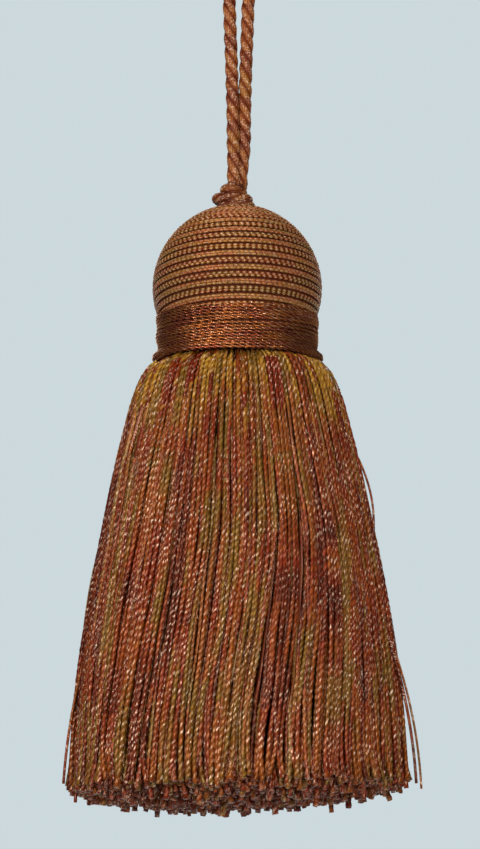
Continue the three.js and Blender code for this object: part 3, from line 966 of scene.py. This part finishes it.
def yarn_skins(points, distances, section, plain, thickness):
    """The twisted skin of each yarn, its plies opening a little at the cut end."""
    count = len(points)
    thick = thickness * rng.uniform(0.86, 1.1, (count, 1)) * (0.97 + 0.13 * distances / RIM_DROP)
    lay = YARN_LAY * rng.uniform(0.9, 1.1, (count, 1))
    wound = np.maximum(distances - distances[:, plain - 1:plain], 0)
    turns = rng.uniform(0, TAU, (count, 1)) + TAU * wound / lay + 1.1 * np.sin(wound / 4 + 20 * lay)
    to_end = distances[:, -1:] - distances
    end = 1 + rng.uniform(-0.1, 0.2, (count, 1)) * np.exp(-to_end / 1.5) - 0.12 * (to_end < 0.01)
    sections = section.turned(turns) * (thick * end)[..., None, None]
    fronts = points * OUTWARDS + np.array([0, 0, 1e-6])
    return tube_vertices(points, fronts, sections)


def neighbourly(count):
    """A number for each yarn's dye: some lie beside another length of the same yarn."""
    strands = rng.random(count)
    for number in np.flatnonzero(rng.random(count - 1) < 0.5):
        strands[number + 1] = strands[number] + rng.normal(0, 0.006)
    return strands


def make_skirt(outside, inside):
    """The cut yarns: four layers seen from outside, and rings of others that fill the inside."""
    for layer in SKIRT_LAYERS:
        angle, share = yarn_ring(layer["share"], layer["count"])
        points, distances, plain, dyes = yarn_lines(angle, share, layer["plied"], PLAIN_STEP, 0.5)
        section = Section(2, 0.11, 0.39, layer["points"])
        skins = yarn_skins(points, distances, section, plain, YARN)
        cuts = np.linspace(0, layer["count"], layer["parts"] + 1).astype(int)
        for part, span in enumerate(map(slice, cuts[:-1], cuts[1:])):
            name = f"skirt_{layer['name']}_{part}"
            mesh = tubes_mesh(name, skins[span], distances[span], dyes[span], section)
            add_piece(mesh, outside, "skirt")
    rings = []
    for share in INNER_SHARES:
        count = round(TAU * SKIRT_RADII[-1] * share / INNER_PITCH)
        rings.append(yarn_ring(share, max(6, count)))
    angle, share = (np.concatenate(values) for values in zip(*rings))
    points, distances, plain, dyes = yarn_lines(angle, share, INNER_PLIED, INNER_STEP, 0.85)
    section = Section(2, 0.08, 0.42, 2)
    skins = yarn_skins(points, distances, section, plain, INNER_YARN)
    mesh = tubes_mesh("skirt_inner", skins, distances, dyes, section)
    add_piece(mesh, inside, "skirt")


# Single yarns that stand off the skirt: angle in degrees from +X towards +Y, the drops between which
# each stands off, by how much, how far past the rim it ends, and its thickness.
STRAYS = [
    (-3, 17, 37, 1.5, 0, 0.5),
    (-9, 54, 112, 2.9, 0.2, 0.62),
    (-6, 54, 112, 3.5, 1.2, 0.5),
    (186, 60, 110, 2.0, 0.2, 0.6),
    (200, 66, 112, 0.6, 4.2, 0.7),
    (178, 30, 62, 0.8, 0, 0.45),
    (75, 48, 104, 2.2, 0.5, 0.55),
    (128, 20, 46, 1.3, 0, 0.5),
    (150, 60, 110, 1.6, 1.0, 0.6),
    (35, 62, 110, 1.4, 0.6, 0.55),
]
STRAY_STEPS = 130


def make_strays(material):
    """Thin single yarns that lift off the outer layer."""
    points, distances, sections = [], [], []
    section = Section(1, 0.0, 0.5, 5)
    for degrees, start, end, lift, extra, thick in STRAYS:
        drops = np.linspace(0.6, RIM_DROP + extra, STRAY_STEPS)
        off = np.clip((drops - start) / (end - start), 0, 1)
        angle = math.radians(degrees)
        share = drops / RIM_DROP
        radius = SKIRT_LAYERS[0]["share"] * skirt_radius(drops) + surface_drift(angle, share)
        radius = radius + lift * np.sin(math.pi * off)
        angle = angle + 0.012 * np.sin(share * 9 + start)
        line = round_axis(radius, angle, SKIRT_TOP_Z - drops)
        points.append(line)
        distances.append(lengths_along(line))
        sections.append(section.turned(np.zeros(STRAY_STEPS)) * thick)
    points = np.array(points)
    vertices = tube_vertices(points, points * OUTWARDS, np.array(sections))
    dyes = np.linspace(0.03, 0.97, len(STRAYS))
    mesh = tubes_mesh("skirt_strays", vertices, np.array(distances), dyes, section)
    add_piece(mesh, material, "skirt")


def make_heading(shadow):
    """The bound top of the skirt, inside the collar, coloured with the painted shade."""
    rows = [(-92.7, 13.9), (-93.0, 14.2), (-102.6, 14.2), (-103.4, 13.0)]
    add_piece(turned_mesh("skirt_heading", rows), shadow, "skirt")


# -------------------- surroundings

FLOOR_Z = -0.8  # in metres, as is its radius
FLOOR_RADIUS = 12.0
FLOOR_SIDES = 128


def make_floor():
    """A plain pale disc, so wide that its edge lies on the horizon."""
    turn = np.arange(FLOOR_SIDES) / FLOOR_SIDES * TAU
    rim = round_axis(FLOOR_RADIUS, turn, 0 * turn)
    mesh = bpy.data.meshes.new("floor")
    mesh.from_pydata(rim.tolist(), [], [list(range(FLOOR_SIDES))])
    floor = new_object("floor", mesh)
    floor.location = (0, 0, FLOOR_Z)
    material, _, shader = new_material("floor_paint")
    shader.inputs["Base Color"].default_value = (0.66, 0.695, 0.71, 1)
    shader.inputs["Roughness"].default_value = 0.9
    mesh.materials.append(material)


# Soft boxes: name, where each stands, its width and height, power and colour, in metres and watts,
# and whether it is seen only as a highlight.
LIGHTS = [
    ("key", (-0.75, -0.78, 0.20), (0.22, 0.22), 8.0, (1, 0.95, 0.88), False),
    ("flash", (0.22, -1.0, -0.10), (0.10, 0.10), 6.8, (1, 0.97, 0.93), False),
    ("top", (0.1, -0.25, 0.8), (0.4, 0.4), 2.0, (1, 0.98, 0.95), False),
    ("back", (0.0, 2.4, 1.0), (2.4, 1.6), 44.0, (1, 0.98, 0.95), False),
    ("glint_left", (-0.45, -0.94, 0.10), (0.22, 0.22), 12.0, (1, 0.9, 0.8), True),
    ("glint_right", (0.30, -1.0, 0.15), (0.1, 0.1), 7.0, (1, 0.92, 0.85), True),
]
LIGHTS_AIM = (0, 0, -0.12)
ROOM = (0.605, 0.690, 0.720, 1)


def make_lights():
    """The soft boxes, and a pale room that lights the tassel evenly but isn't mirrored in it."""
    for name, place, size, power, colour, glint in LIGHTS:
        data = bpy.data.lights.new(name, "AREA")
        data.shape = "RECTANGLE"
        data.size, data.size_y = size
        data.energy = power
        data.color = colour
        lamp = new_object(name, data)
        lamp.location = place
        lamp.visible_camera = False
        lamp.visible_diffuse = not glint
        aim(lamp, Vector(LIGHTS_AIM) - Vector(place))
    world = bpy.data.worlds.new("room")
    world.use_nodes = True
    background = world.node_tree.nodes["Background"]
    background.inputs["Color"].default_value = ROOM
    background.inputs["Strength"].default_value = 1.0
    world.cycles_visibility.glossy = False
    bpy.context.scene.world = world
    bpy.context.scene.view_settings.view_transform = "Standard"


# -------------------- the tassel

ROPE = [(0.150, 0.033, 0.004), (0.172, 0.046, 0.005), (0.115, 0.020, 0.003), (0.168, 0.053, 0.005)]
KNOTTED = [(0.110, 0.024, 0.003), (0.135, 0.038, 0.004), (0.078, 0.011, 0.002), (0.125, 0.030, 0.004)]
BEADED = [(0.215, 0.073, 0.007), (0.215, 0.088, 0.009), (0.200, 0.050, 0.007), (0.165, 0.073, 0.007)]
GIMPED = [(0.208, 0.066, 0.007), (0.200, 0.076, 0.009), (0.200, 0.048, 0.007), (0.160, 0.062, 0.006)]
SATINS = [(0.215, 0.042, 0.006), (0.285, 0.080, 0.009), (0.220, 0.036, 0.008)]
OUTSIDE = [RUST, COPPER, COPPER, TAN, OLIVE, TAN, RUST, BURGUNDY, RUST, MAROON, PLUM, BURGUNDY]
INSIDE = [RUST, BURGUNDY, COPPER, MAROON, PLUM, BURGUNDY, TAN, RUST, PLUM, BURGUNDY]
SATIN_SHINE = {**SHINE, "Roughness": 0.28, "Specular IOR Level": 0.12, "Metallic": 0.6}
GIMP_SHINE = {**SHINE, "Metallic": 0.12}
ROPE_SHINE = {**SHINE, "Roughness": 0.5, "Specular IOR Level": 0.12}

make_camera()
shadow = shadow_material("painted_shade")
make_loop(cord_material(
    "twisted_cord", ROPE, ROPE_SHINE,
    groove=0.5, groove_width=0.9, streak=0.12, pale=0.15, spots=0.3,
))
make_knot(cord_material(
    "knotted_cord", KNOTTED, ROPE_SHINE, groove=0.5, streak=0.1, spots=0.35,
), shadow)
beaded = cord_material(
    "head_beads", BEADED, GIMP_SHINE,
    drift_scale=0.05, groove=0.35, per_mm=0.8, pale=0.95, beads=True,
)
smooth = cord_material(
    "head_gimp", GIMPED, GIMP_SHINE, drift_scale=0.04, per_mm=0.9, slant=0.0, spots=0.25,
)
make_head(beaded, smooth, shadow)
satin = cord_material(
    "satin", SATINS, SATIN_SHINE, drift_scale=0.08, groove=0.17, per_mm=2.0, slant=1.5,
    pale=0.3, spots=0.6, spot_scale=0.8, twist=1.3, patches=0.35,
)
make_collar(satin, shadow)
make_binding(satin)
outside = yarn_material("skirt_yarn", OUTSIDE)
make_skirt(outside, yarn_material("skirt_yarn_inside", INSIDE, flecked=0.6, sparkling=1.0))
make_strays(outside)
make_heading(shadow)
make_floor()
make_lights()
